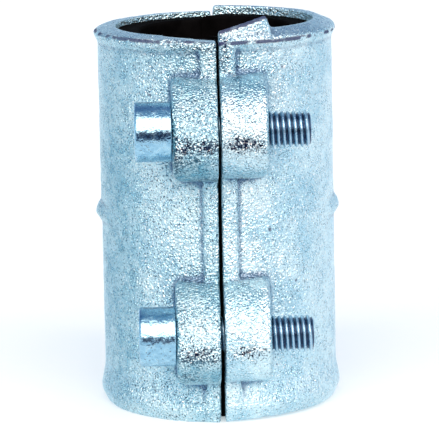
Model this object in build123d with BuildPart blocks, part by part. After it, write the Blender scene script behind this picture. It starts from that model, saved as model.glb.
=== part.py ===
"""Two-half cast clamp coupling: hinged at the back, closed by two cap screws at the front.

Frame: +Z runs along the pipe, the origin is the centre of the bore, and the lugs point to -Y.
The left half is on -X and the right half on +X.  Millimetres throughout.
"""
from build123d import *
from math import cos, degrees, radians, sin, sqrt
import os

os.makedirs("parts", exist_ok=True)

# ---------------------------------------------------------------- sleeve
pipe_radius = 16.85           # the liner's bore, on a 33.7 mm pipe
liner_thickness = 5.3
wall_thickness = 4.1
sleeve_length = 85.5          # bottom face to the left half's lip
right_half_rise = 0.5         # how far the right half sits above the left one
split_gap_top = 0.45
split_gap_bottom = 0.9        # the left half's split face has casting draft

# ---------------------------------------------------------------- rims
bead_proud = 0.85
top_bead_drop = 1.3           # the left lip down to the widest ring of the top bead
bottom_bead_rise = 3.3
bead_half_flat = 0.5
top_bead_run = 2.1            # the bead's slope back to the barrel
bottom_flare_run = 4.6
rim_round = 0.8
lip_land = 1.3                # flat width of the lip, beside the bore
bore_chamfer = 0.5
left_lip_rise = 1.3           # above the widest ring of the bead
right_lip_rise = 2.1
left_lip_fall_run = 12.0      # the left lip slopes down to the split over this width
left_lip_rise_at_split = 0.4

# ---------------------------------------------------------------- tab on the right half's rim
tab_width = 10.8
tab_rise = 4.9
tab_rise_at_split = 1.8
tab_step_run = 0.8
toe_width = 8.5               # the lower rim's toe, which brings the right half down to the floor

# ---------------------------------------------------------------- strips beside the split, side pads
strip_width = 3.7
strip_proud = 1.0
pad_proud = 1.35
pad_height = 4.6
pad_half_width = 11.5
pad_z = 1.0
pad_tip_drop = 0.4            # the pad's proudest ring below its middle
pad_shoulder = 0.5            # how far the pad has fallen back at its shoulders
pad_shoulder_half = 1.3       # shoulders above and below its middle
pad_sink = 1.5                # how deep a pad is rooted in the wall

# ---------------------------------------------------------------- lugs
left_lug_width = 10.3         # from the split plane
right_lug_width = 10.5
lug_height = 22.6
lug_apex_drop = 1.7           # the most forward line of a lug, below its middle
lug_beyond_screw = 6.6        # from the screw's axis to the lug's front face
lug_root = 0.3                # the back of a lug's root, outside the bore
lug_top_corner = 1.6
lug_bottom_corner = 3.2

# ---------------------------------------------------------------- screws, M8 x 30 socket head cap
screw_diameter = 8.0
screw_length = 30.0
screw_pitch = 1.25
screw_head_diameter = 13.0
screw_head_height = 8.0
screw_shank = 6.0             # plain length under the head
thread_depth = 0.65
thread_runout = 1.0           # chamfer at the tip
socket_across_flats = 6.0
socket_depth = 4.4
head_chamfer = 0.8
upper_screw_z = 23.4
lower_screw_z = -21.7

# ---------------------------------------------------------------- hinge
pin_diameter = 6.0
knuckle_wall = 2.3
knuckle_run = 30.0            # the hinge's half height
right_knuckle_half = 9.5
pin_head_diameter = 8.6
pin_head_height = 1.6
pin_head_chamfer = 0.5
knuckle_web_spread = 3.8
knuckle_web_root = 1.6

# ---------------------------------------------------------------- clearances
liner_fit = 0.05              # liner to casting, radially
liner_gap = 0.35              # each liner half back from the split plane, at the front
liner_joint_gap = 0.15        # the same at the hinge side
liner_joint_slant = 5.0       # both joints are cut on a slant this wide, so nothing shows through
liner_recess = 1.1            # the liner's top end inside the rim
liner_bottom_recess = 0.3
liner_chamfer = 0.8
pin_fit = 0.05                # pin to knuckle bores, radially
pin_head_seat = 0.05
head_seat = 0.05              # screw head to the lug's face
head_to_barrel = 0.35         # the screw heads' rims to the barrel, beside the lugs
clearance_hole_play = 0.5     # screw to the left lug's plain hole, radially
tapped_hole_play = 0.3        # screw to the right lug's hole, radially, as the half swings
screw_undersize = 0.05        # the thread's crest inside its nominal radius
knuckle_gap = 1.5             # left knuckle to right knuckle, along the pin, halves level
knuckle_to_bead = 0.3         # a knuckle's lowest point clear of the beads' radius

# ---------------------------------------------------------------- worked out from the sizes above
bore_radius = pipe_radius + liner_thickness + liner_fit
barrel_radius = bore_radius + wall_thickness
bead_radius = barrel_radius + bead_proud
half_length = sleeve_length / 2
top_ring_z = half_length - top_bead_drop
bottom_ring_z = -half_length + bottom_bead_rise
thread_radius = screw_diameter / 2 - screw_undersize
clearance_hole_radius = thread_radius + clearance_hole_play
tapped_hole_radius = thread_radius + tapped_hole_play
barrel_beside_lug = sqrt(barrel_radius**2 - left_lug_width**2)
screw_y = -(barrel_beside_lug + head_to_barrel + screw_head_diameter / 2)
lug_front_y = screw_y - lug_beyond_screw
pin_radius = pin_diameter / 2
knuckle_bore_radius = pin_radius + pin_fit
knuckle_radius = knuckle_bore_radius + knuckle_wall
hinge_y = bead_radius + knuckle_to_bead + knuckle_radius
split_cut_y = bead_radius + knuckle_to_bead / 2
left_knuckle_start = right_knuckle_half + knuckle_gap
screw_heights = (upper_screw_z, lower_screw_z)
far = 4 * barrel_radius       # reaches past every face, for cutting blocks
right_gap = split_gap_top / 2


def radial_plane(angle):
    """A plane through the Z axis whose x direction points along the angle, in degrees."""
    a = radians(angle)
    return Plane(origin=(0, 0, 0), x_dir=(cos(a), sin(a), 0), z_dir=(sin(a), -cos(a), 0))


def barrel_outline(lip_rise, rise):
    """Radius and height of the casting's section: barrel, top bead, lip and bottom flare."""
    low, high = bottom_ring_z + rise, top_ring_z + rise
    return [
        (bore_radius, high + lip_rise),
        (bore_radius, -half_length + rise + bore_chamfer),
        (bore_radius + bore_chamfer, -half_length + rise),
        (barrel_radius - bore_chamfer, -half_length + rise),
        (bead_radius, low - bead_half_flat),
        (bead_radius, low + bead_half_flat),
        (barrel_radius, low + bottom_flare_run),
        (barrel_radius, high - top_bead_run),
        (bead_radius, high - bead_half_flat),
        (bead_radius, high + bead_half_flat),
        (barrel_radius - bore_chamfer, high + left_lip_rise - bore_chamfer / 2),
        (bore_radius + lip_land, high + lip_rise),
    ]


def strip_outline(lip_rise, rise):
    """Section of the raised strip beside the split, which runs over both beads."""
    low, high = bottom_ring_z + rise, top_ring_z + rise
    proud = barrel_radius + strip_proud
    root = bore_radius + wall_thickness / 2
    return [
        (root, high + left_lip_rise - bore_chamfer),
        (root, -half_length + rise),
        (barrel_radius - bore_chamfer / 2, -half_length + rise),
        (proud, low - bead_half_flat),
        (proud, high + bead_half_flat),
        (barrel_radius - bore_chamfer / 2, high + left_lip_rise - bore_chamfer / 2),
    ]


def make_lug(side, width, screw_z):
    """One lug: two arcs in side view, flat on its outer side, with rounded corners from the front."""
    back_y = -(bore_radius + lug_root)
    outer = side * width
    mid_z = screw_z + side * right_half_rise / 2
    apex_z = mid_z - lug_apex_drop
    upper_arc = lug_height / 2 + lug_apex_drop
    lower_arc = lug_height / 2 - lug_apex_drop
    with BuildPart() as lug:
        with BuildSketch(Plane.YZ.offset(min(outer, 0))):
            with BuildLine():
                CenterArc((lug_front_y + upper_arc, apex_z), upper_arc, 90, 90)
                CenterArc((lug_front_y + lower_arc, apex_z), lower_arc, 180, 90)
                Polyline(
                    (lug_front_y + lower_arc, mid_z - lug_height / 2), (back_y, mid_z - lug_height / 2),
                    (back_y, mid_z + lug_height / 2), (lug_front_y + upper_arc, mid_z + lug_height / 2),
                )
            make_face()
        extrude(amount=width)
        with BuildSketch(Plane.XZ) as front:
            with BuildLine():
                Polyline(
                    (0, mid_z + lug_height / 2), (outer, mid_z + lug_height / 2),
                    (outer, mid_z - lug_height / 2), (0, mid_z - lug_height / 2), close=True,
                )
            make_face()
            outer_low = front.vertices().filter_by(lambda v: abs(v.X) > width / 2 and v.Y < mid_z)
            fillet(outer_low, lug_bottom_corner)
            outer_top = front.vertices().filter_by(lambda v: abs(v.X) > width / 2 and v.Y > mid_z)
            fillet(outer_top, lug_top_corner)
        extrude(amount=far, mode=Mode.INTERSECT)
    return lug.part


def make_knuckle(side, low, high):
    """One hinge knuckle with the web that joins it to its own half."""
    with BuildPart() as knuckle:
        with BuildSketch(Plane.XY.offset(low)):
            with Locations((0, hinge_y)):
                Circle(knuckle_radius)
            with BuildLine():
                Polyline(
                    (side * right_gap, hinge_y), (side * knuckle_radius, hinge_y),
                    (side * (knuckle_radius + knuckle_web_spread), barrel_radius - knuckle_web_root),
                    (side * right_gap, barrel_radius - knuckle_web_root), close=True,
                )
            make_face()
        extrude(amount=high - low)
    return knuckle.part


def make_pad(side, mid_z):
    """The plain pad near mid height on the outside of a half: a ring set off to the side."""
    reach = barrel_radius + pad_proud
    # the ring that comes out of the barrel at the pad's two ends and is proudest at its middle
    end_x = sqrt(barrel_radius**2 - pad_half_width**2)
    centre_x = (reach**2 - barrel_radius**2) / (2 * (reach - end_x))
    ring = reach - centre_x
    with BuildPart() as pad:
        with BuildSketch(Plane.XZ):
            with BuildLine():
                Polyline(
                    (centre_x + ring - pad_proud - pad_sink, mid_z + pad_height / 2),
                    (centre_x + ring - pad_proud, mid_z + pad_height / 2),
                    (centre_x + ring - pad_shoulder, mid_z + pad_shoulder_half),
                    (centre_x + ring, mid_z - pad_tip_drop),
                    (centre_x + ring - pad_shoulder, mid_z - pad_shoulder_half),
                    (centre_x + ring - pad_proud, mid_z - pad_height / 2),
                    (centre_x + ring - pad_proud - pad_sink, mid_z - pad_height / 2), close=True,
                )
            make_face()
        revolve(axis=Axis((centre_x, 0, 0), (0, 0, 1)))
        if side < 0:
            mirror(about=Plane.YZ, mode=Mode.REPLACE)
    return pad.part


def make_rim_piece(outline, inner_radius, outer_radius):
    """A piece of rim at the front: an outline seen from the front, as deep as the ring it sits on."""
    with BuildPart() as piece:
        with BuildSketch(Plane.XZ):
            with BuildLine():
                Polyline(*outline, close=True)
            make_face()
        extrude(amount=far)
        with BuildSketch(Plane.XY.offset(-far)):
            Circle(outer_radius)
            Circle(inner_radius, mode=Mode.SUBTRACT)
        extrude(amount=2 * far, mode=Mode.INTERSECT)
    return piece.part


left_lugs = [make_lug(-1, left_lug_width, z) for z in screw_heights]
right_lugs = [make_lug(1, right_lug_width, z) for z in screw_heights]
left_knuckles = [
    make_knuckle(-1, left_knuckle_start, knuckle_run),
    make_knuckle(-1, -knuckle_run, -left_knuckle_start),
]
right_knuckle = make_knuckle(1, right_half_rise - right_knuckle_half, right_half_rise + right_knuckle_half)
left_pad = make_pad(-1, pad_z)
right_pad = make_pad(1, pad_z + right_half_rise)
tab_base = top_ring_z + right_half_rise
rim_tab = make_rim_piece(
    [
        (0, tab_base), (tab_width + tab_step_run, tab_base),
        (tab_width + tab_step_run, tab_base + right_lip_rise), (tab_width, tab_base + tab_rise),
        (0, tab_base + tab_rise_at_split),
    ],
    bore_radius, barrel_radius,
)
right_bottom_z = right_half_rise - half_length
rim_toe = make_rim_piece(
    [
        (0, -half_length), (toe_width, right_bottom_z), (toe_width, right_bottom_z + bore_chamfer),
        (0, right_bottom_z + bore_chamfer),
    ],
    bore_radius + bore_chamfer, barrel_radius - bore_chamfer / 2,
)
strip_angle = degrees(strip_width / barrel_radius)

# ---------------------------------------------------------------- left casting
with BuildPart() as left_shell:
    with BuildSketch(Plane.XZ) as left_section:
        with BuildLine():
            Polyline(*barrel_outline(left_lip_rise, 0), close=True)
        make_face()
        fillet(left_section.vertices().filter_by(lambda v: v.X > barrel_radius + bead_proud / 2), rim_round)
    revolve(axis=Axis.Z)
    with BuildSketch(radial_plane(-90 - strip_angle)):
        with BuildLine():
            Polyline(*strip_outline(left_lip_rise, 0), close=True)
        make_face()
    revolve(axis=Axis.Z, revolution_arc=strip_angle)
    add(left_lugs)
    add(left_knuckles)
    add(left_pad)
    Cylinder(bore_radius, far, mode=Mode.SUBTRACT)
    # the lip slopes down to the split at the front
    with BuildSketch(Plane.XZ):
        with BuildLine():
            Polyline(
                (1, top_ring_z + left_lip_rise_at_split), (0, top_ring_z + left_lip_rise_at_split),
                (-left_lip_fall_run, top_ring_z + left_lip_rise),
                (-left_lip_fall_run, top_ring_z + far), (1, top_ring_z + far), close=True,
            )
        make_face()
    extrude(amount=far, mode=Mode.SUBTRACT)
    # everything past the drafted split face goes, except round the knuckles
    with BuildSketch(Plane.XZ.offset(-split_cut_y)):
        with BuildLine():
            Polyline(
                (right_gap - split_gap_top, half_length), (right_gap - split_gap_bottom, -half_length),
                (right_gap - split_gap_bottom, -far), (far, -far), (far, far),
                (right_gap - split_gap_top, far), close=True,
            )
        make_face()
    extrude(amount=far, mode=Mode.SUBTRACT)
    with Locations(*[(0, screw_y, z) for z in screw_heights]):
        Cylinder(clearance_hole_radius, far, rotation=(0, 90, 0), mode=Mode.SUBTRACT)
    with Locations((0, hinge_y, 0)):
        Cylinder(knuckle_bore_radius, far, mode=Mode.SUBTRACT)
left_shell.part.label = "left_shell"
export_step(left_shell.part, "parts/left_shell.step")

# ---------------------------------------------------------------- right casting
with BuildPart() as right_shell:
    with BuildSketch(Plane.XZ) as right_section:
        with BuildLine():
            Polyline(*barrel_outline(right_lip_rise, right_half_rise), close=True)
        make_face()
        fillet(right_section.vertices().filter_by(lambda v: v.X > barrel_radius + bead_proud / 2), rim_round)
    revolve(axis=Axis.Z)
    with BuildSketch(radial_plane(-90)):
        with BuildLine():
            Polyline(*strip_outline(right_lip_rise, right_half_rise), close=True)
        make_face()
    revolve(axis=Axis.Z, revolution_arc=strip_angle)
    add(right_lugs)
    add(right_knuckle)
    add(right_pad)
    Cylinder(bore_radius, far, mode=Mode.SUBTRACT)
    add(rim_tab)
    add(rim_toe)
    with BuildSketch(Plane.XZ.offset(-split_cut_y)):
        with Locations((right_gap, 0)):
            Rectangle(far, 2 * far, align=(Align.MAX, Align.CENTER))
    extrude(amount=far, mode=Mode.SUBTRACT)
    with Locations(*[(0, screw_y, z) for z in screw_heights]):
        Cylinder(tapped_hole_radius, far, rotation=(0, 90, 0), mode=Mode.SUBTRACT)
    with Locations((0, hinge_y, 0)):
        Cylinder(knuckle_bore_radius, far, mode=Mode.SUBTRACT)
right_shell.part.label = "right_shell"
export_step(right_shell.part, "parts/right_shell.step")


def make_liner(side, rise):
    """Half of the rubber liner, plain, with chamfered ends and slanted joints."""
    outer = pipe_radius + liner_thickness
    low = -half_length + liner_bottom_recess + rise
    high = half_length - liner_recess + rise
    with BuildPart() as liner:
        with BuildSketch(Plane.XZ):
            with BuildLine():
                Polyline(
                    (pipe_radius, low + liner_chamfer), (pipe_radius + liner_chamfer, low), (outer, low),
                    (outer, high), (pipe_radius + liner_chamfer, high), (pipe_radius, high - liner_chamfer),
                    close=True,
                )
            make_face()
        revolve(axis=Axis.Z)
        front_x, back_x, lean = side * liner_gap, side * liner_joint_gap, liner_joint_slant / 2
        with BuildSketch(Plane.XY.offset(-far)):
            with BuildLine():
                Polyline(
                    (front_x + lean, -far), (front_x + lean, -outer), (front_x - lean, -pipe_radius),
                    (back_x - lean, pipe_radius), (back_x + lean, outer), (back_x + lean, far),
                    (-side * far, far), (-side * far, -far), close=True,
                )
            make_face()
        extrude(amount=2 * far, mode=Mode.SUBTRACT)
    return liner.part


# ---------------------------------------------------------------- liner halves
with BuildPart() as left_gasket:
    add(make_liner(-1, 0))
left_gasket.part.label = "left_gasket"
export_step(left_gasket.part, "parts/left_gasket.step")

with BuildPart() as right_gasket:
    add(make_liner(1, right_half_rise))
right_gasket.part.label = "right_gasket"
export_step(right_gasket.part, "parts/right_gasket.step")

# ---------------------------------------------------------------- hinge pin, headed at both ends
with BuildPart() as hinge_pin:
    head_z = knuckle_run + pin_head_seat
    with BuildSketch(Plane.XZ.offset(-hinge_y)):
        with BuildLine():
            Polyline(
                (0, -head_z - pin_head_height),
                (pin_head_diameter / 2 - pin_head_chamfer, -head_z - pin_head_height),
                (pin_head_diameter / 2, -head_z - pin_head_height + pin_head_chamfer),
                (pin_head_diameter / 2, -head_z), (pin_radius, -head_z), (pin_radius, head_z),
                (pin_head_diameter / 2, head_z),
                (pin_head_diameter / 2, head_z + pin_head_height - pin_head_chamfer),
                (pin_head_diameter / 2 - pin_head_chamfer, head_z + pin_head_height),
                (0, head_z + pin_head_height), close=True,
            )
        make_face()
    revolve(axis=Axis((0, hinge_y, 0), (0, 0, 1)))
hinge_pin.part.label = "hinge_pin"
export_step(hinge_pin.part, "parts/hinge_pin.step")


def make_screw(z):
    """A socket head cap screw along X, its head on the left lug; the thread is drawn as rings."""
    under_head = -left_lug_width - head_seat
    head_end = under_head - screw_head_height
    tip = under_head + screw_length
    head_radius = screw_head_diameter / 2
    rings = int((screw_length - screw_shank - thread_runout) / screw_pitch)
    outline = [
        (head_end, 0), (head_end, head_radius - head_chamfer), (head_end + head_chamfer, head_radius),
        (under_head, head_radius), (under_head, thread_radius),
    ]
    first = tip - thread_runout - rings * screw_pitch
    for i in range(rings):
        start = first + i * screw_pitch
        outline += [(start, thread_radius), (start + screw_pitch / 2, thread_radius - thread_depth)]
    outline += [(tip - thread_runout, thread_radius), (tip, thread_radius - thread_depth), (tip, 0)]
    with BuildPart() as screw:
        with BuildSketch(Plane.XY):
            with BuildLine():
                Polyline(*outline, close=True)
            make_face()
        revolve(axis=Axis.X)
        with BuildSketch(Plane.YZ.offset(head_end)):
            RegularPolygon(socket_across_flats / 2, 6, major_radius=False)
        extrude(amount=socket_depth, mode=Mode.SUBTRACT)
    return Pos(0, screw_y, z) * screw.part


# ---------------------------------------------------------------- cap screws
with BuildPart() as upper_screw:
    add(make_screw(upper_screw_z))
upper_screw.part.label = "upper_screw"
export_step(upper_screw.part, "parts/upper_screw.step")

with BuildPart() as lower_screw:
    add(make_screw(lower_screw_z))
lower_screw.part.label = "lower_screw"
export_step(lower_screw.part, "parts/lower_screw.step")
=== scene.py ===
import math

import bpy
import numpy as np
from mathutils import Matrix, Vector, noise


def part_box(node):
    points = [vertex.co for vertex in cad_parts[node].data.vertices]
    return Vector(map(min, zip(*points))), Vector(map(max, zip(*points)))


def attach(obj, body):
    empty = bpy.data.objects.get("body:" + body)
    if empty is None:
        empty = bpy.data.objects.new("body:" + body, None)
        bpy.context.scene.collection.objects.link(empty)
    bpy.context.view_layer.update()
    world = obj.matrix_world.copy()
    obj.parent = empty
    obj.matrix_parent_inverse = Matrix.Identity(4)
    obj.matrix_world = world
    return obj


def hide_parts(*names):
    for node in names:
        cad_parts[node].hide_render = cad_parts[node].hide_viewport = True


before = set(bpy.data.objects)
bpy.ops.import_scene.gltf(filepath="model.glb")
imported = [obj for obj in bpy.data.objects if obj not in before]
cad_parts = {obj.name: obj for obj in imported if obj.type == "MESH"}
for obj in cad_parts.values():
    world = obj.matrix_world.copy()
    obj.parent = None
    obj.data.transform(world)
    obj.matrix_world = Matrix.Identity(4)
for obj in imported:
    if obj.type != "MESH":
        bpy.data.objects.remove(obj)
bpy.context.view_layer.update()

MM = 0.001
scene = bpy.context.scene
scene.view_settings.view_transform = "Standard"

# ------------------------------------------------------------------ sizes of the CAD model, in metres
BORE_R = 22.2 * MM
BARREL_R = 26.3 * MM
HINGE_Y = 32.8 * MM
KNUCKLE_BORE_R = 3.05 * MM
PIN_R = 3.0 * MM
SCREW_Y = -31.049 * MM
SCREW_Z = {"upper_screw": 23.4 * MM, "lower_screw": -21.7 * MM}
HOLE_R = {"left_shell": 4.45 * MM, "right_shell": 4.25 * MM}
HEAD_END = -18.35 * MM
UNDER_HEAD = -10.35 * MM
SCREW_TIP = 19.65 * MM
HEAD_R = 6.5 * MM
THREAD_R = 3.95 * MM
THREAD_PITCH = 1.25 * MM
PIPE_R = 16.85 * MM
LINER_OUTER_R = 22.15 * MM
FLOOR_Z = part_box("left_shell")[0].z

# ------------------------------------------------------------------ the castings' skin
VOXEL = 0.48 * MM
# uneven skin, coarse to fine: size of the lumps and how far they stand out
WAVES, LUMPS, GRAIN = (9 * MM, 0.10 * MM), (2.6 * MM, 0.055 * MM), (0.9 * MM, 0.03 * MM)
SKIN_DROP = 0.045 * MM              # keeps the raised skin inside the CAD half
PIT_DEPTH = 0.16 * MM
RANDOM_PITS = 14
# the tab on the right half's rim: above this height, and up to this far from the split, its top gets painted
# shade
TAB_Z = 43.6 * MM
TAB_END_X = 11.6 * MM
# a painted shade line round the top bead at the front: its height, and the least radius that it marks
RIM_SHADE_Z = {"left_shell": 41.95 * MM, "right_shell": 41.7 * MM}
RIM_SHADE_R = {"left_shell": 26.3 * MM, "right_shell": 26.4 * MM}
RIM_SHADE_WIDTH = 0.52 * MM
LIP_RISE = {"left_shell": 0.4 * MM, "right_shell": 0.0}      # the line follows the lip up to the split
LIP_RISE_RUN = 12 * MM
# painted shade: a blue line in the bead's hollow, just under the lip
BEAD_LINE_Z = {"left_shell": 42.1 * MM, "right_shell": 41.5 * MM}
BEAD_LINE_WIDTH = 0.3 * MM
HOLLOW_SCALE = 0.022 * MM           # curvature that counts as fully hollow
# painted shade at the front, darker blue on and round the lugs and down the left side: x, z, half width, half
# height (mm) and strength
SHADE_PATCHES = {
    "left_shell": [(-5.5, 14.5, 5.5, 3.6, 0.85), (-5.5, -30.5, 5.5, 3.8, 0.75), (-5.2, 31.5, 5.2, 2.6, 0.35),
                   (-5.2, -13.0, 5.2, 2.6, 0.35), (-10.2, 23.0, 0.5, 9.0, 0.9), (-10.2, -22.0, 0.5, 9.0, 0.9),
                   (-23.0, -2.0, 5.0, 34.0, 0.6), (-14.0, 39.0, 9.0, 2.0, 0.4)],
    "right_shell": [(6.0, 32.0, 4.6, 2.4, 0.50), (5.5, 13.0, 5.0, 1.5, 0.45), (5.5, -33.0, 5.0, 1.4, 0.45),
                    (10.4, 23.0, 0.4, 9.0, 0.6), (10.4, -22.0, 0.4, 9.0, 0.6), (6.0, -13.0, 4.6, 2.4, 0.25)],
}
# pinholes in the zinc at the front: distance from the split, z and radius, in mm
PINHOLES = {
    "left_shell": [(17.5, -12.0, 0.22), (20.0, -25.0, 0.25), (15.0, 30.0, 0.2)],
    "right_shell": [(10.9, 0.0, 0.36), (14.2, 35.6, 0.3), (20.5, 33.1, 0.24), (16.6, -12.3, 0.3),
                    (17.0, -14.5, 0.2), (12.0, -30.5, 0.2)],
}
# painted shade at the front, where dark specks crowd and dark clots gather, mostly on and under the lugs: x,
# z, half width, half height (mm) and strength
SPECK_SHADE_PATCHES = {
    "left_shell": [(-7.5, 20.6, 1.6, 1.6, 1.0), (-2.8, 20.8, 2.6, 1.2, 1.0), (-9.3, 16.4, 1.2, 2.6, 0.8),
                   (-6.0, 17.6, 3.0, 1.8, 0.55), (-5.5, -25.2, 4.0, 1.8, 0.8), (-7.5, -30.0, 2.4, 1.6, 0.6),
                   (-9.8, 20.5, 0.6, 4.2, 1.0), (-10.0, -22.0, 0.7, 5.0, 0.5), (-5.0, 40.5, 4.0, 1.0, 0.5),
                   (-3.5, 12.6, 3.0, 0.7, 0.8)],
    "right_shell": [(5.0, 21.2, 4.0, 1.5, 1.0), (2.2, 23.6, 1.4, 3.5, 0.35), (4.2, 12.4, 2.6, 0.6, 0.9),
                    (5.0, -24.2, 3.8, 1.3, 0.75), (1.2, 40.0, 1.2, 4.0, 0.7), (4.2, 36.0, 0.8, 5.0, 0.5),
                    (4.0, 4.0, 0.6, 8.0, 0.35)],
}


# ------------------------------------------------------------------ mesh helpers
def new_object(name, verts, faces, smooth=True):
    mesh = bpy.data.meshes.new(name)
    mesh.from_pydata([tuple(v) for v in verts], [], faces)
    mesh.validate()
    obj = bpy.data.objects.new(name, mesh)
    scene.collection.objects.link(obj)
    if smooth:
        mesh.shade_smooth()
    return obj


def get_points(mesh):
    co = np.empty(len(mesh.vertices) * 3)
    mesh.vertices.foreach_get("co", co)
    return co.reshape(-1, 3)


def set_points(mesh, co):
    mesh.vertices.foreach_set("co", co.astype(np.float32).ravel())
    mesh.update()


def get_normals(mesh):
    n = np.empty(len(mesh.vertices) * 3)
    mesh.vertex_normals.foreach_get("vector", n)
    return n.reshape(-1, 3)


def set_attribute(mesh, name, values):
    attribute = mesh.attributes.new(name, "FLOAT", "POINT")
    attribute.data.foreach_set("value", np.asarray(values).astype(np.float32))


def tube_faces(count, around):
    """Quads between rings of points that follow each other, with a cap at each end."""
    faces = []
    for i in range(count - 1):
        for k in range(around):
            a, b = i * around + k, i * around + (k + 1) % around
            faces.append((a, b, b + around, a + around))
    faces.append(tuple(range(around))[::-1])
    last = (count - 1) * around
    faces.append(tuple(range(last, last + around)))
    return faces


def front_patches(co, spots, power):
    """Strength of soft-edged patches on the front; a higher power gives a flatter middle."""
    total = np.zeros(len(co))
    for x, z, wide, tall, strength in spots:
        d2 = ((co[:, 0] - x * MM) / (wide * MM)) ** 2 + ((co[:, 2] - z * MM) / (tall * MM)) ** 2
        total = np.maximum(total, strength * np.exp(-0.5 * d2 ** power) * (co[:, 1] < 0))
    return total


def hollows(mesh, co, normals, passes):
    """How hollow (positive) or edged (negative) the surface is at each vertex, spread over passes rings."""
    edges = np.empty(len(mesh.edges) * 2, np.int64)
    mesh.edges.foreach_get("vertices", edges)
    a, b = edges[0::2], edges[1::2]
    count = np.bincount(edges, minlength=len(co)).astype(float)

    def average(values):
        return (np.bincount(a, values[b], len(co)) + np.bincount(b, values[a], len(co))) / count

    lap = np.stack([average(co[:, i]) for i in range(3)], 1) - co
    curve = (lap * normals).sum(1)
    for _ in range(passes):
        curve = 0.5 * curve + 0.5 * average(curve)
    return curve


def fractal(points, scale, octaves, offset):
    """Seeded noise from -1 to 1 at each point; scale is the size of its largest lumps, in metres."""
    shift = Vector(offset)
    return np.array([
        noise.fractal(Vector(p) / scale + shift, 1.0, 2.0, octaves, noise_basis="PERLIN_ORIGINAL")
        for p in points
    ])


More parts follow.
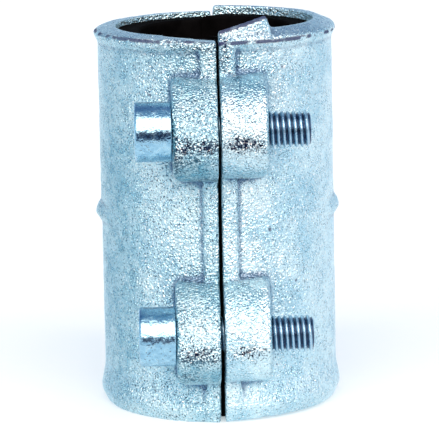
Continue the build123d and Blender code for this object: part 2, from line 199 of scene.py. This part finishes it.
# ------------------------------------------------------------------ cast halves
def casting(node, name, body, seed):
    """The CAD half, remeshed so that its edges round off as a casting's do, with an uneven skin."""
    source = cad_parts[node]
    work = bpy.data.objects.new("work", source.data.copy())
    scene.collection.objects.link(work)
    remesh = work.modifiers.new("voxels", "REMESH")
    remesh.mode = "VOXEL"
    remesh.voxel_size = VOXEL
    soften = work.modifiers.new("soften", "SMOOTH")
    soften.factor = 0.5
    soften.iterations = 4
    bpy.context.view_layer.update()
    mesh = bpy.data.meshes.new_from_object(work.evaluated_get(bpy.context.evaluated_depsgraph_get()))
    bpy.data.objects.remove(work)
    mesh.name = name
    obj = bpy.data.objects.new(name, mesh)
    scene.collection.objects.link(obj)
    mesh.shade_smooth()

    co, normals = get_points(mesh), get_normals(mesh)
    curve = hollows(mesh, co, normals, 4)
    radius = np.hypot(co[:, 0], co[:, 1])
    free = np.clip((radius - BORE_R - 0.3 * MM) / (0.8 * MM), 0, 1)
    hinge = np.hypot(co[:, 0], co[:, 1] - HINGE_Y)
    free *= np.clip((hinge - KNUCKLE_BORE_R - 0.3 * MM) / (0.6 * MM), 0, 1)
    for z in SCREW_Z.values():
        hole = np.hypot(co[:, 1] - SCREW_Y, co[:, 2] - z)
        free *= np.clip((hole - HOLE_R[node] - 0.2 * MM) / (0.6 * MM), 0, 1)
    free *= np.clip((np.abs(co[:, 0]) - 0.3 * MM) / (0.9 * MM), 0.15, 1)

    waves = fractal(co, WAVES[0], 2, (seed, 3.1, 7.7))
    lumps = fractal(co, LUMPS[0], 3, (2.2, seed, 5.3))
    grain = fractal(co, GRAIN[0], 2, (8.8, 1.4, seed))
    height = WAVES[1] * waves + LUMPS[1] * lumps + GRAIN[1] * grain - SKIN_DROP

    # shallow pinholes where gas came out of the zinc, scattered with a fixed seed
    rng = np.random.default_rng(int(seed * 10) + 5)
    side = -1 if node == "left_shell" else 1
    spots = [(x, z, size, 1.0) for x, z, size in PINHOLES[node]]
    spots += [(BARREL_R / MM * math.sin(rng.uniform(0.1, 0.5) * math.pi), rng.uniform(-40, 40),
               rng.uniform(0.15, 0.3), rng.uniform(0.2, 0.6)) for _ in range(RANDOM_PITS)]
    pits = np.zeros(len(co))
    for x, z, size, strength in spots:
        at = np.array([side * x * MM, -math.sqrt(BARREL_R ** 2 - (x * MM) ** 2), z * MM])
        d2 = ((co - at) ** 2).sum(1)
        pits = np.maximum(pits, np.exp(-d2 / (2 * (size * MM) ** 2)) * strength)
    height -= PIT_DEPTH * pits
    co = co + normals * (height * free)[:, None]

    # machined places stay true: the liner's seat, the hinge bore and the screw holes
    radius = np.hypot(co[:, 0], co[:, 1])
    seat = (np.abs(radius - BORE_R) < 0.35 * MM)
    co[seat, :2] *= (BORE_R / radius[seat])[:, None]
    d = co[:, :2] - np.array([0, HINGE_Y])
    r = np.hypot(d[:, 0], d[:, 1])
    bore = (r < KNUCKLE_BORE_R + 0.25 * MM)
    co[bore, 0] = d[bore, 0] / r[bore] * KNUCKLE_BORE_R
    co[bore, 1] = HINGE_Y + d[bore, 1] / r[bore] * KNUCKLE_BORE_R
    for z in SCREW_Z.values():
        d = co[:, 1:] - np.array([SCREW_Y, z])
        r = np.hypot(d[:, 0], d[:, 1])
        hole = (r < HOLE_R[node] + 0.3 * MM) & (np.abs(co[:, 0]) < 11 * MM) & (r > 1 * MM)
        k = HOLE_R[node] / r[hole]
        co[hole, 1] = SCREW_Y + d[hole, 0] * k
        co[hole, 2] = z + d[hole, 1] * k
    low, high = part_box(node)
    co = np.clip(co, np.array(low), np.array(high))
    set_points(mesh, co)

    # painted shade: a dark line round the top bead at the front, and the tab's top face darkened
    front = co[:, 1] < 0
    rise = LIP_RISE[node] * np.clip(1 + co[:, 0] / LIP_RISE_RUN, 0, 1)
    rim_shade = np.exp(-((co[:, 2] - RIM_SHADE_Z[node] - rise) / RIM_SHADE_WIDTH) ** 2)
    rim_shade *= (radius > RIM_SHADE_R[node]) * front * np.clip(0.85 + 1.6 * lumps, 0.2, 1)
    tab = (co[:, 2] > TAB_Z) & (co[:, 0] < TAB_END_X) & (normals[:, 2] > 0.5) & front
    rim_shade = np.where(tab, 0.85 + 0.4 * lumps, rim_shade)
    line = np.exp(-((co[:, 2] - BEAD_LINE_Z[node]) / BEAD_LINE_WIDTH) ** 2)
    line *= (radius > BARREL_R + 0.1 * MM) * front * np.clip(0.7 + 1.2 * lumps, 0.2, 1)
    # real pinholes and the painted shade of the rim line and tab top share one attribute
    set_attribute(mesh, "pits_and_shade", np.maximum(pits * free, rim_shade))
    set_attribute(mesh, "speck_shade", front_patches(co, SPECK_SHADE_PATCHES[node], 1))
    set_attribute(mesh, "shade_patch", front_patches(co, SHADE_PATCHES[node], 2))
    # painted shade: darker in hollows, from the curvature, and along the bead line
    set_attribute(mesh, "hollow", curve / HOLLOW_SCALE + 1.1 * line)
    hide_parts(node)
    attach(obj, body)
    return obj


# ------------------------------------------------------------------ screws
def arc(cx, cr, radius, start, end, n):
    """Points of a round edge, as (x, r) pairs; angles in degrees, 0 along +x."""
    return [
        (cx + radius * math.cos(math.radians(start + (end - start) * i / n)),
         cr + radius * math.sin(math.radians(start + (end - start) * i / n)))
        for i in range(n + 1)
    ]


def cap_screw(node, body):
    """A socket head cap screw with a real helical thread, as rings of points along +X."""
    around = 144
    theta = np.arange(around) * 2 * math.pi / around
    degrees = np.degrees(theta)
    hexagon = 3.0 * MM / np.cos((theta % (math.pi / 3)) - math.pi / 6)
    flat = np.ones(around)
    rings = []           # (x, radius at each angle, and painted shade: the groove depth on the thread, darkening in the socket and under the head, dark reflection bands on the head)
    head_edge, under_edge, neck_round = 0.75 * MM, 0.25 * MM, 0.4 * MM
    socket_depth, socket_step = 4.4 * MM, 0.12 * MM
    root_depth, tip_chamfer = 0.62 * MM, 0.80 * MM
    thread_start = UNDER_HEAD + 6 * MM
    # painted reflection bands along the head, dark: angle round from the barrel's side, width, and how much
    # they wander
    bands = ((94, 9, 0.4), (176, 7, 1), (263, 8, 0.4))

    def ring(x, r, painted_shade=0.0):
        rings.append((np.full(around, x), r * flat if np.isscalar(r) else r, painted_shade * flat))

    # the socket, from its drilled bottom out to its chamfered mouth
    socket_end = HEAD_END + socket_depth
    # painted shade: the socket is darkened inside, most at its bottom
    ring(socket_end + 1.1 * MM, 0.05 * MM, 0.9)
    ring(socket_end, hexagon * 0.93, 0.9)
    ring(socket_end - socket_step, hexagon, 0.8)
    for i in range(1, 7):
        ring(socket_end - socket_step - i * (socket_depth - 0.6 * MM) / 6, hexagon, 0.8 - 0.1 * i)
    ring(HEAD_END + 0.10 * MM, np.maximum(hexagon * 1.02, 3.28 * MM), 0.1)
    ring(HEAD_END + 0.02 * MM, np.maximum(hexagon * 1.04, 3.48 * MM))
    for r in (3.75, 4.4, 5.0, 5.5):
        ring(HEAD_END, r * MM)
    # the head
    for x, r in arc(HEAD_END + head_edge, HEAD_R - head_edge, head_edge, 180, 90, 8):
        ring(x, r)
    for x in np.linspace(HEAD_END + head_edge + 0.3 * MM, UNDER_HEAD - 0.45 * MM, 26):
        wander = 3 * math.sin(x / (0.42 * MM)) + 2.5 * math.sin(x / (0.19 * MM) + 1)
        reflection_bands = sum(np.exp(-((degrees - at - wander * sway) / wide) ** 2) for at, wide, sway in bands)
        ring(x, HEAD_R, 0.72 * reflection_bands)
    # painted shade under the head and round the neck
    for x, r in arc(UNDER_HEAD - under_edge, HEAD_R - under_edge, under_edge, 90, 0, 4):
        ring(x, r, 0.2)
    ring(UNDER_HEAD, 5.2 * MM, 0.3)
    # the plain shank
    for x, r in arc(UNDER_HEAD + neck_round, THREAD_R + 0.36 * MM, neck_round, 180, 270, 4):
        ring(x, r, 0.4)
    for x in np.linspace(UNDER_HEAD + 0.7 * MM, thread_start, 8):
        ring(x, THREAD_R - 0.04 * MM)
    # the thread, which fades in over a turn and a half and is chamfered at the tip
    step = THREAD_PITCH / 14
    x = thread_start + step
    while x < SCREW_TIP - 0.02 * MM:
        phase = ((x - thread_start) / THREAD_PITCH - theta / (2 * math.pi)) % 1.0
        groove = (0.5 - 0.5 * np.cos(2 * math.pi * phase)) ** 1.1      # 0 at the crest, 1 at the root
        fade = min(1.0, (x - thread_start) / (1.5 * THREAD_PITCH))
        r = THREAD_R - root_depth * groove * fade
        chamfer = THREAD_R - tip_chamfer + (SCREW_TIP - x) * 0.95
        # the groove depth is also the painted shade: darkest in the roots
        rings.append((np.full(around, x), np.minimum(r, chamfer), groove * fade))
        x += step
    ring(SCREW_TIP, THREAD_R - 0.85 * MM)
    ring(SCREW_TIP, 1.6 * MM)
    ring(SCREW_TIP - 0.03 * MM, 0.05 * MM)

    z0 = SCREW_Z[node]
    verts, painted_shade = [], []
    for xs, rs, ds in rings:
        for k in range(around):
            verts.append((xs[k], SCREW_Y + rs[k] * math.cos(theta[k]), z0 + rs[k] * math.sin(theta[k])))
            painted_shade.append(ds[k])
    obj = new_object(node + "_detail", verts, tube_faces(len(rings), around))
    set_attribute(obj.data, "painted_shade", painted_shade)
    along = np.array([v[0] for v in verts])
    set_attribute(obj.data, "thread", np.clip((along - thread_start) / THREAD_PITCH, 0, 1))
    obj.data.set_sharp_from_angle(angle=math.radians(38))
    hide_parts(node)
    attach(obj, body)
    return obj


# ------------------------------------------------------------------ hinge pin
def hinge_pin():
    """The pin, with hammered domes at both ends."""
    around = 64
    reach, dome, rim = 30.05 * MM, 1.6 * MM, 0.75 * MM
    neck = (-reach, PIN_R + 0.1 * MM)
    profile = [(-reach - dome, 0.05 * MM)]                  # (z, radius), from the bottom up
    profile += [(-reach - dome + 0.10 * MM * (r / 3.2) ** 2, r * MM) for r in (1.0, 1.9, 2.6, 3.2)]
    profile += arc(-reach - rim, 3.55 * MM, rim, 180, 90, 6)
    profile += [(-reach - 0.15 * MM, 4.28 * MM), (-reach, 4.05 * MM), neck]
    profile += [(z * MM, PIN_R) for z in np.linspace(-30, 30, 25)]
    profile += [(-z, r) for z, r in reversed(profile[:profile.index(neck) + 1])]
    verts = []
    for z, r in profile:
        for k in range(around):
            a = 2 * math.pi * k / around
            dent = 0.0
            if abs(z) > reach + 0.3 * MM and r > 0.5 * MM:
                dent = 0.12 * MM * noise.noise(Vector((math.cos(a), math.sin(a), z * 900)) * r / MM * 0.5)
            verts.append(((r - abs(dent)) * math.cos(a), HINGE_Y + (r - abs(dent)) * math.sin(a), z))
    obj = new_object("hinge_pin_detail", verts, tube_faces(len(profile), around))
    obj.data.set_sharp_from_angle(angle=math.radians(50))
    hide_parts("hinge_pin")
    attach(obj, "left_half")
    return obj


# ------------------------------------------------------------------ rubber liner
def liner(node, name, body, side):
    """Half of the liner: a rubber half ring with moulded sealing grooves inside and soft edges."""
    low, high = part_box(node)
    inner, outer = PIPE_R, LINER_OUTER_R
    gap, joint, slant = 0.35 * MM, 0.15 * MM, 5.0 * MM      # at the split, at the hinge, and their slant
    z0, z1 = low.z, high.z
    soft = 0.7 * MM
    outline = []                                            # (radius, z), round the section
    outline += [(inner + soft - soft * math.cos(t), z0 + soft - soft * math.sin(t))
                for t in np.linspace(0, math.pi / 2, 6)]
    outline += [(r, z0) for r in np.linspace(inner + 1.2 * soft, outer - 0.5 * MM, 6)]
    outline += [(outer - 0.2 * MM, z0 + 0.06 * MM), (outer, z0 + 0.3 * MM)]
    outline += [(outer, z) for z in np.linspace(z0 + 2 * MM, z1 - 2 * MM, 12)]
    outline += [(outer, z1 - 0.3 * MM), (outer - 0.2 * MM, z1 - 0.06 * MM)]
    outline += [(r, z1) for r in np.linspace(outer - 0.5 * MM, inner + 1.2 * soft, 6)]
    outline += [(inner + soft - soft * math.sin(t), z1 - soft + soft * math.cos(t))
                for t in np.linspace(0, math.pi / 2, 6)]
    groove_pitch, groove_depth, groove_width = 5.0 * MM, 0.45 * MM, 0.42 * MM
    for z in np.arange(z1 - soft - 0.4 * MM, z0 + soft + 0.4 * MM, -0.35 * MM):
        from_end = min(z - z0, z1 - z)
        away = abs(((z - z0) / groove_pitch) % 1.0 - 0.5) * groove_pitch
        groove = groove_depth * math.exp(-(away / groove_width) ** 2) * (1 if from_end > 3 * MM else 0)
        outline.append((inner + groove, z))
    steps = 72
    verts, faces = [], []
    n = len(outline)
    for i in range(steps + 1):
        t = i / steps
        for r, z in outline:
            # both joints are slanted: their x at this radius
            ends = []
            for offset in (gap, joint):
                y = r
                for _ in range(4):
                    x = side * offset + slant * ((y - inner) / (outer - inner) - 0.5)
                    y = math.sqrt(r * r - x * x)
                ends.append(math.asin(side * x / r))
            first, last = ends[0], math.pi - ends[1]
            a = -math.pi / 2 + side * (first + t * (last - first))
            verts.append((r * math.cos(a), r * math.sin(a), z))
    for i in range(steps):
        for k in range(n):
            a, b = i * n + k, i * n + (k + 1) % n
            faces.append((a, b, b + n, a + n) if side > 0 else (a, a + n, b + n, b))
    front_end = tuple(range(n))
    back_end = tuple(range(steps * n, steps * n + n))
    faces += [front_end[::-1], back_end] if side > 0 else [front_end, back_end[::-1]]
    obj = new_object(name, verts, faces)
    obj.data.set_sharp_from_angle(angle=math.radians(55))
    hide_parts(node)
    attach(obj, body)
    return obj


# ------------------------------------------------------------------ material helpers
class Tree:
    """A short way to build a node tree: an argument is a number, a colour or another node's output."""

    def __init__(self, tree):
        self.tree = tree
        self.tree.nodes.clear()

    def add(self, kind, **values):
        node = self.tree.nodes.new(kind)
        for key, value in values.items():
            setattr(node, key, value)
        return node

    def link(self, a, b):
        self.tree.links.new(a, b)

    def put(self, socket, value):
        if hasattr(value, "is_output"):
            self.link(value, socket)
        else:
            socket.default_value = value

    def math(self, operation, a, b=0.0):
        node = self.add("ShaderNodeMath", operation=operation)
        self.put(node.inputs[0], a)
        self.put(node.inputs[1], b)
        return node.outputs[0]

    def span(self, value, low, high, to_low=0.0, to_high=1.0):
        node = self.add("ShaderNodeMapRange", interpolation_type="SMOOTHSTEP")
        for key, v in zip(("Value", "From Min", "From Max", "To Min", "To Max"),
                          (value, low, high, to_low, to_high)):
            self.put(node.inputs[key], v)
        return node.outputs[0]

    def mix(self, factor, a, b):
        node = self.add("ShaderNodeMix", data_type="RGBA")
        self.put(node.inputs["Factor"], factor)
        self.put(node.inputs["A"], a)
        self.put(node.inputs["B"], b)
        return node.outputs["Result"]


class Nodes(Tree):
    """A material's node tree, with one Principled shader."""

    def __init__(self, name):
        self.material = bpy.data.materials.new(name)
        self.material.use_nodes = True
        super().__init__(self.material.node_tree)
        out = self.add("ShaderNodeOutputMaterial")
        self.shader = self.add("ShaderNodeBsdfPrincipled")
        self.link(self.shader.outputs[0], out.inputs[0])
        self.coordinates = self.add("ShaderNodeTexCoord").outputs["Object"]

    def noise(self, size, detail=2.0, rough=0.5, warp=0.0, stretch=(1, 1, 1), offset=(0, 0, 0),
              turn=(0, 0, 0)):
        """Noise from 0 to 1; size is a lump's width in metres along an unstretched direction."""
        mapping = self.add("ShaderNodeMapping")
        self.link(self.coordinates, mapping.inputs["Vector"])
        k = 1 / size
        mapping.inputs["Scale"].default_value = [k / s for s in stretch]
        mapping.inputs["Location"].default_value = offset
        mapping.inputs["Rotation"].default_value = turn
        node = self.add("ShaderNodeTexNoise")
        self.link(mapping.outputs[0], node.inputs["Vector"])
        node.inputs["Scale"].default_value = 1
        node.inputs["Detail"].default_value = detail
        node.inputs["Roughness"].default_value = rough
        node.inputs["Distortion"].default_value = warp
        return node.outputs["Fac"]

    def bump(self, height, distance):
        node = self.add("ShaderNodeBump")
        node.inputs["Distance"].default_value = distance
        node.inputs["Strength"].default_value = 1.0
        self.link(height, node.inputs["Height"])
        return node.outputs[0]

    def attribute(self, name):
        return self.add("ShaderNodeAttribute", attribute_name=name).outputs["Fac"]


def rgb(r, g, b):
    return (r, g, b, 1.0)


# ------------------------------------------------------------------ materials
ZINC = (0.24, 0.47, 0.62), (0.44, 0.68, 0.80), (0.62, 0.82, 0.90)      # deep, middle and light
SPECK_COLOUR = rgb(0.012, 0.026, 0.070)
SHADE_CLOT_COLOUR = rgb(0.006, 0.014, 0.042)
PAINTED_GLINT_COLOUR = rgb(0.94, 0.96, 0.96)
PIT_AND_SHADE_COLOUR = rgb(0.035, 0.045, 0.13)
SHADE_PATCH_COLOUR = rgb(0.11, 0.35, 0.48)
HOLLOW_SHADE_COLOUR = rgb(0.06, 0.12, 0.25)
STEEL_COLOURS = rgb(0.25, 0.49, 0.67), rgb(0.39, 0.65, 0.80)
TURNED_COLOUR = rgb(0.62, 0.80, 0.92)
STEEL_SPECK_COLOUR = rgb(0.05, 0.06, 0.13)
CREST_HIGHLIGHT_COLOUR = rgb(0.40, 0.58, 0.72)
SCREW_SHADE_COLOUR = rgb(0.03, 0.04, 0.10)
RUBBER_COLOURS = rgb(0.0012, 0.0012, 0.0014), rgb(0.0035, 0.0035, 0.004)
PAPER_COLOURS = rgb(0.54, 0.55, 0.56), rgb(0.56, 0.57, 0.58)
PAPER_GLOW = rgb(0.405, 0.473, 0.50)


def galvanised(name, seed, speck, sparse, bite, tint):
    """Hot-dip galvanised cast iron: pale blue zinc, grainy, with darker specks, runs and pinholes, and with
    painted shade (patches, hollows, rim lines) and painted glints in its colour.
    speck is how dark the specks are, sparse how many there are, bite how rough the grain is."""
    m = Nodes(name)
    off = (seed, seed * 1.7, seed * 0.6)
    broad = m.noise(9 * MM, 2, 0.5, offset=off)
    blotch = m.noise(2.6 * MM, 2, 0.6, 0.4, offset=off)
    grain = m.noise(0.29 * MM, 0, offset=off)
    sand = m.noise(0.47 * MM, 0, offset=(seed + 4, 2, 1))
    dots = m.noise(0.36 * MM, 1, 0.5, offset=(seed, 8, 3))
    runs = m.noise(0.8 * MM, 1, 0.6, 0.3, stretch=(1, 1, 5), offset=off, turn=(0, 0.5, 0))

    deep, middle, light = (rgb(*(c * t for c, t in zip(colour, tint))) for colour in ZINC)
    base = m.mix(m.span(broad, 0.35, 0.65), middle, light)
    base = m.mix(m.span(blotch, 0.58, 0.36, 0.0, 0.30), base, deep)
    base = m.mix(m.span(runs, 0.56, 0.72, 0.0, 0.35), base, light)
    # painted shade: in these patches the dark specks crowd and dark clots appear
    speck_shade = m.attribute("speck_shade")
    low = m.math("ADD", m.math("MULTIPLY", speck_shade, 0.22), sparse)
    dark = m.math("MULTIPLY", m.span(dots, m.math("ADD", low, 0.05), low),
                  m.math("MAXIMUM", speck_shade, speck))
    base = m.mix(dark, base, SPECK_COLOUR)
    clots = m.noise(0.8 * MM, 1, 0.6, 0.6, offset=(seed, 3, 6))
    level = m.math("ADD", m.math("MULTIPLY", speck_shade, 0.26), 0.22)
    clot = m.math("MULTIPLY", m.span(clots, m.math("ADD", level, 0.07), level), m.span(speck_shade, 0.2, 0.5))
    base = m.mix(clot, base, SHADE_CLOT_COLOUR)
    # painted glints: pale dots in the base colour
    base = m.mix(m.math("MULTIPLY", m.span(dots, 0.58, 0.70), 0.7), base, PAINTED_GLINT_COLOUR)
    # darker pinholes, and the painted shade of the rim line and tab top; both also make the zinc less
    # metallic
    pits_and_shade = m.span(m.attribute("pits_and_shade"), 0.25, 0.8)
    base = m.mix(m.math("MULTIPLY", pits_and_shade, 0.9), base, PIT_AND_SHADE_COLOUR)
    # painted shade patches, broken up by the blotches
    shade_patch = m.math("MULTIPLY", m.attribute("shade_patch"), m.span(blotch, 0.35, 0.60, 1.0, 0.45))
    base = m.mix(shade_patch, base, SHADE_PATCH_COLOUR)
    # painted shade: darker blue in hollows and creases and along the bead line
    hollow = m.span(m.attribute("hollow"), 0.15, 1.2)
    base = m.mix(m.math("MULTIPLY", hollow, 0.72), base, HOLLOW_SHADE_COLOUR)
    m.link(base, m.shader.inputs["Base Color"])
    m.link(m.span(pits_and_shade, 0.0, 1.0, 0.94, 0.0), m.shader.inputs["Metallic"])
    m.link(m.span(blotch, 0.3, 0.7, 0.24, 0.34), m.shader.inputs["Roughness"])
    m.shader.inputs["Specular IOR Level"].default_value = 0.0
    height = m.math("ADD", m.math("MULTIPLY", grain, 0.55 * bite), m.math("MULTIPLY", sand, 0.8 * bite))
    height = m.math("ADD", height, m.math("MULTIPLY", m.noise(1.6 * MM, 1, 0.5, offset=off), 0.8))
    m.link(m.bump(height, 0.34 * MM), m.shader.inputs["Normal"])
    return m.material


def zinc_steel(name, seed, axis):
    """Bright zinc-plated steel: fine turning marks round the axis, soft patches; on the screws, painted shade
    in the roots, socket and neck, dark painted reflection bands on the head and a painted highlight on the
    thread crests.
    """
    m = Nodes(name)
    stretch = (0.12, 3, 3) if axis == "x" else (3, 3, 0.12)
    lines = m.noise(0.9 * MM, 3, 0.7, stretch=stretch, offset=(seed, 0, 3))
    patch = m.noise(1.5 * MM, 2, 0.6, 0.5, offset=(seed, 5, 1))
    small = m.noise(0.42 * MM, 1, 0.6, offset=(2, seed, 7))
    base = m.mix(m.span(patch, 0.35, 0.68), *STEEL_COLOURS)
    base = m.mix(m.span(lines, 0.55, 0.75, 0.0, 0.3), base, TURNED_COLOUR)
    base = m.mix(m.span(small, 0.38, 0.28, 0.0, 0.7), base, STEEL_SPECK_COLOUR)
    rough = m.span(patch, 0.3, 0.7, 0.17, 0.28)
    if axis == "x":
        # painted shade in the roots, socket and neck, dark painted reflection bands on the head, and a
        # painted highlight on the thread crests
        groove = m.attribute("painted_shade")
        thread = m.attribute("thread")
        base = m.mix(m.math("MULTIPLY", thread, m.span(groove, 0.45, 0.0)), base, CREST_HIGHLIGHT_COLOUR)
        base = m.mix(m.math("MULTIPLY", m.span(groove, 0.30, 0.95), 0.93), base, SCREW_SHADE_COLOUR)
        rough = m.math("ADD", rough, m.math("MULTIPLY", thread, 0.08))
    m.link(base, m.shader.inputs["Base Color"])
    m.shader.inputs["Metallic"].default_value = 1.0
    m.link(rough, m.shader.inputs["Roughness"])
    height = m.math("ADD", m.math("MULTIPLY", lines, 0.4), m.math("MULTIPLY", small, 0.5))
    height = m.math("ADD", height, m.math("MULTIPLY", patch, 1.3))
    m.link(m.bump(height, 0.10 * MM), m.shader.inputs["Normal"])
    return m.material


def rubber(name):
    """Moulded black rubber with a faint bloom and a fine skin."""
    m = Nodes(name)
    cloud = m.noise(6 * MM, 3, 0.6)
    skin = m.noise(0.35 * MM, 2, 0.6)
    base = m.mix(m.span(cloud, 0.35, 0.7), *RUBBER_COLOURS)
    m.link(base, m.shader.inputs["Base Color"])
    m.link(m.span(cloud, 0.3, 0.7, 0.72, 0.90), m.shader.inputs["Roughness"])
    m.shader.inputs["Specular IOR Level"].default_value = 0.01
    m.link(m.bump(skin, 0.03 * MM), m.shader.inputs["Normal"])
    return m.material


def floor_paint(name):
    """Matt white paper sweep."""
    m = Nodes(name)
    tooth = m.noise(3 * MM, 2, 0.5)
    base = m.mix(tooth, *PAPER_COLOURS)
    m.link(base, m.shader.inputs["Base Color"])
    m.shader.inputs["Roughness"].default_value = 0.9
    m.shader.inputs["Specular IOR Level"].default_value = 0.1
    m.shader.inputs["Emission Color"].default_value = PAPER_GLOW
    m.shader.inputs["Emission Strength"].default_value = 1.0
    return m.material


def finish_with(obj, material):
    obj.data.materials.clear()
    obj.data.materials.append(material)


# ------------------------------------------------------------------ the object
left = casting("left_shell", "left_casting", "left_half", 1.3)
right = casting("right_shell", "right_casting", "right_half", 4.6)
upper = cap_screw("upper_screw", "upper_cap_screw")
lower = cap_screw("lower_screw", "lower_cap_screw")
pin = hinge_pin()
left_liner = liner("left_gasket", "left_liner", "left_half", -1)
right_liner = liner("right_gasket", "right_liner", "right_half", 1)

# the left half's tint is darker and bluer than the right's: painted shade on that side
finish_with(left, galvanised("galvanised_left", 3.0, 0.85, 0.34, 1.4, (0.96, 1.02, 1.02)))
finish_with(right, galvanised("galvanised_right", 11.0, 0.65, 0.32, 1.0, (1.03, 1.05, 1.05)))
finish_with(upper, zinc_steel("screw_zinc_upper", 2.0, "x"))
finish_with(lower, zinc_steel("screw_zinc_lower", 9.0, "x"))
finish_with(pin, zinc_steel("pin_zinc", 5.0, "z"))
black = rubber("liner_rubber")
finish_with(left_liner, black)
finish_with(right_liner, black)

# ------------------------------------------------------------------ floor and light
FLOOR_FRONT, FLOOR_BACK, FLOOR_SIDE = -0.19, 4.0, 3.0
floor = new_object(
    "floor", [(-FLOOR_SIDE, FLOOR_FRONT, FLOOR_Z), (FLOOR_SIDE, FLOOR_FRONT, FLOOR_Z),
              (FLOOR_SIDE, FLOOR_BACK, FLOOR_Z), (-FLOOR_SIDE, FLOOR_BACK, FLOOR_Z)],
    [(0, 1, 2, 3)], smooth=False)
floor.data.materials.append(floor_paint("white_sweep"))


LAMP_BOX = rgb(4.5, 3.6, 3.1)
DARK_GAP = rgb(0.04, 0.07, 0.14)
CEILING = rgb(0.30, 0.45, 0.60)
LEFT_WALL = rgb(0.50, 0.76, 0.95)
RIGHT_WALL = rgb(0.90, 1.02, 1.14)
BACK_WALL = rgb(0.68, 0.84, 0.98)
DARK_BACK = rgb(0.15, 0.23, 0.40)


def studio():
    """The room round the object, as colour against direction: a lamp box ahead and above, a dark
    gap under it, pale walls at the sides and behind, a duller ceiling.  The camera sees white."""
    world = bpy.data.worlds.new("studio")
    scene.world = world
    world.use_nodes = True
    w = Tree(world.node_tree)

    def ramp(angle, low, high):
        """0 to 1 between two angles, in degrees."""
        return w.span(angle, math.radians(low), math.radians(high))

    split = w.add("ShaderNodeSeparateXYZ")
    w.link(w.add("ShaderNodeTexCoord").outputs["Generated"], split.inputs[0])
    x, y, z = split.outputs
    up = w.math("ARCSINE", z)
    sideways = w.math("ARCTAN2", x, w.math("MULTIPLY", y, -1.0))
    off_front = w.math("ABSOLUTE", sideways)

    colour = w.mix(ramp(sideways, -25, 60), LEFT_WALL, RIGHT_WALL)
    colour = w.mix(ramp(off_front, 110, 150), colour, BACK_WALL)
    colour = w.mix(ramp(up, 22, 42), colour, CEILING)
    behind_above = w.math("MULTIPLY", ramp(off_front, 80, 115), ramp(up, 18, 30))
    colour = w.mix(w.math("MULTIPLY", behind_above, ramp(up, 88, 72)), colour, DARK_BACK)
    gap = w.math("MULTIPLY", ramp(off_front, 78, 52), ramp(up, 13, 6))
    colour = w.mix(gap, colour, DARK_GAP)
    lamp = w.math("MULTIPLY", ramp(up, 12, 18), ramp(up, 68, 60))
    lamp = w.math("MULTIPLY", lamp, ramp(off_front, 62, 48))
    colour = w.mix(lamp, colour, LAMP_BOX)
    seen = w.add("ShaderNodeLightPath").outputs["Is Camera Ray"]
    colour = w.mix(seen, colour, rgb(1, 1, 1))
    background = w.add("ShaderNodeBackground")
    w.link(colour, background.inputs[0])
    w.link(background.outputs[0], w.add("ShaderNodeOutputWorld").inputs[0])


studio()

# ------------------------------------------------------------------ camera
def look(distance, azimuth, heading, height, pitch, roll, lens, shift_y):
    """A camera at that azimuth (0 is -Y), facing heading, turned down by pitch and rolled, in degrees."""
    a, h, p, r = (math.radians(v) for v in (azimuth, heading, pitch, roll))
    ahead = Vector((math.sin(h), math.cos(h), 0))
    right_way = Vector((math.cos(h), -math.sin(h), 0))
    stand = Vector((-math.sin(a) * distance, -math.cos(a) * distance, height))
    forward = ahead * math.cos(p) + Vector((0, 0, -math.sin(p)))
    up = ahead * math.sin(p) + Vector((0, 0, math.cos(p)))
    x = right_way * math.cos(r) - up * math.sin(r)
    y = right_way * math.sin(r) + up * math.cos(r)
    turn = Matrix((x, y, -forward)).transposed().to_4x4()
    camera = bpy.data.cameras.new("camera")
    camera.lens = lens
    camera.sensor_width = 36
    camera.shift_y = shift_y
    camera.clip_start, camera.clip_end = 0.01, 30
    obj = bpy.data.objects.new("camera", camera)
    scene.collection.objects.link(obj)
    obj.matrix_world = Matrix.Translation(stand) @ turn
    scene.camera = obj


look(distance=0.6678, azimuth=1.31, heading=1.36, height=0.12745, pitch=10.0, roll=1.10,
     lens=245.86, shift_y=-0.1169)
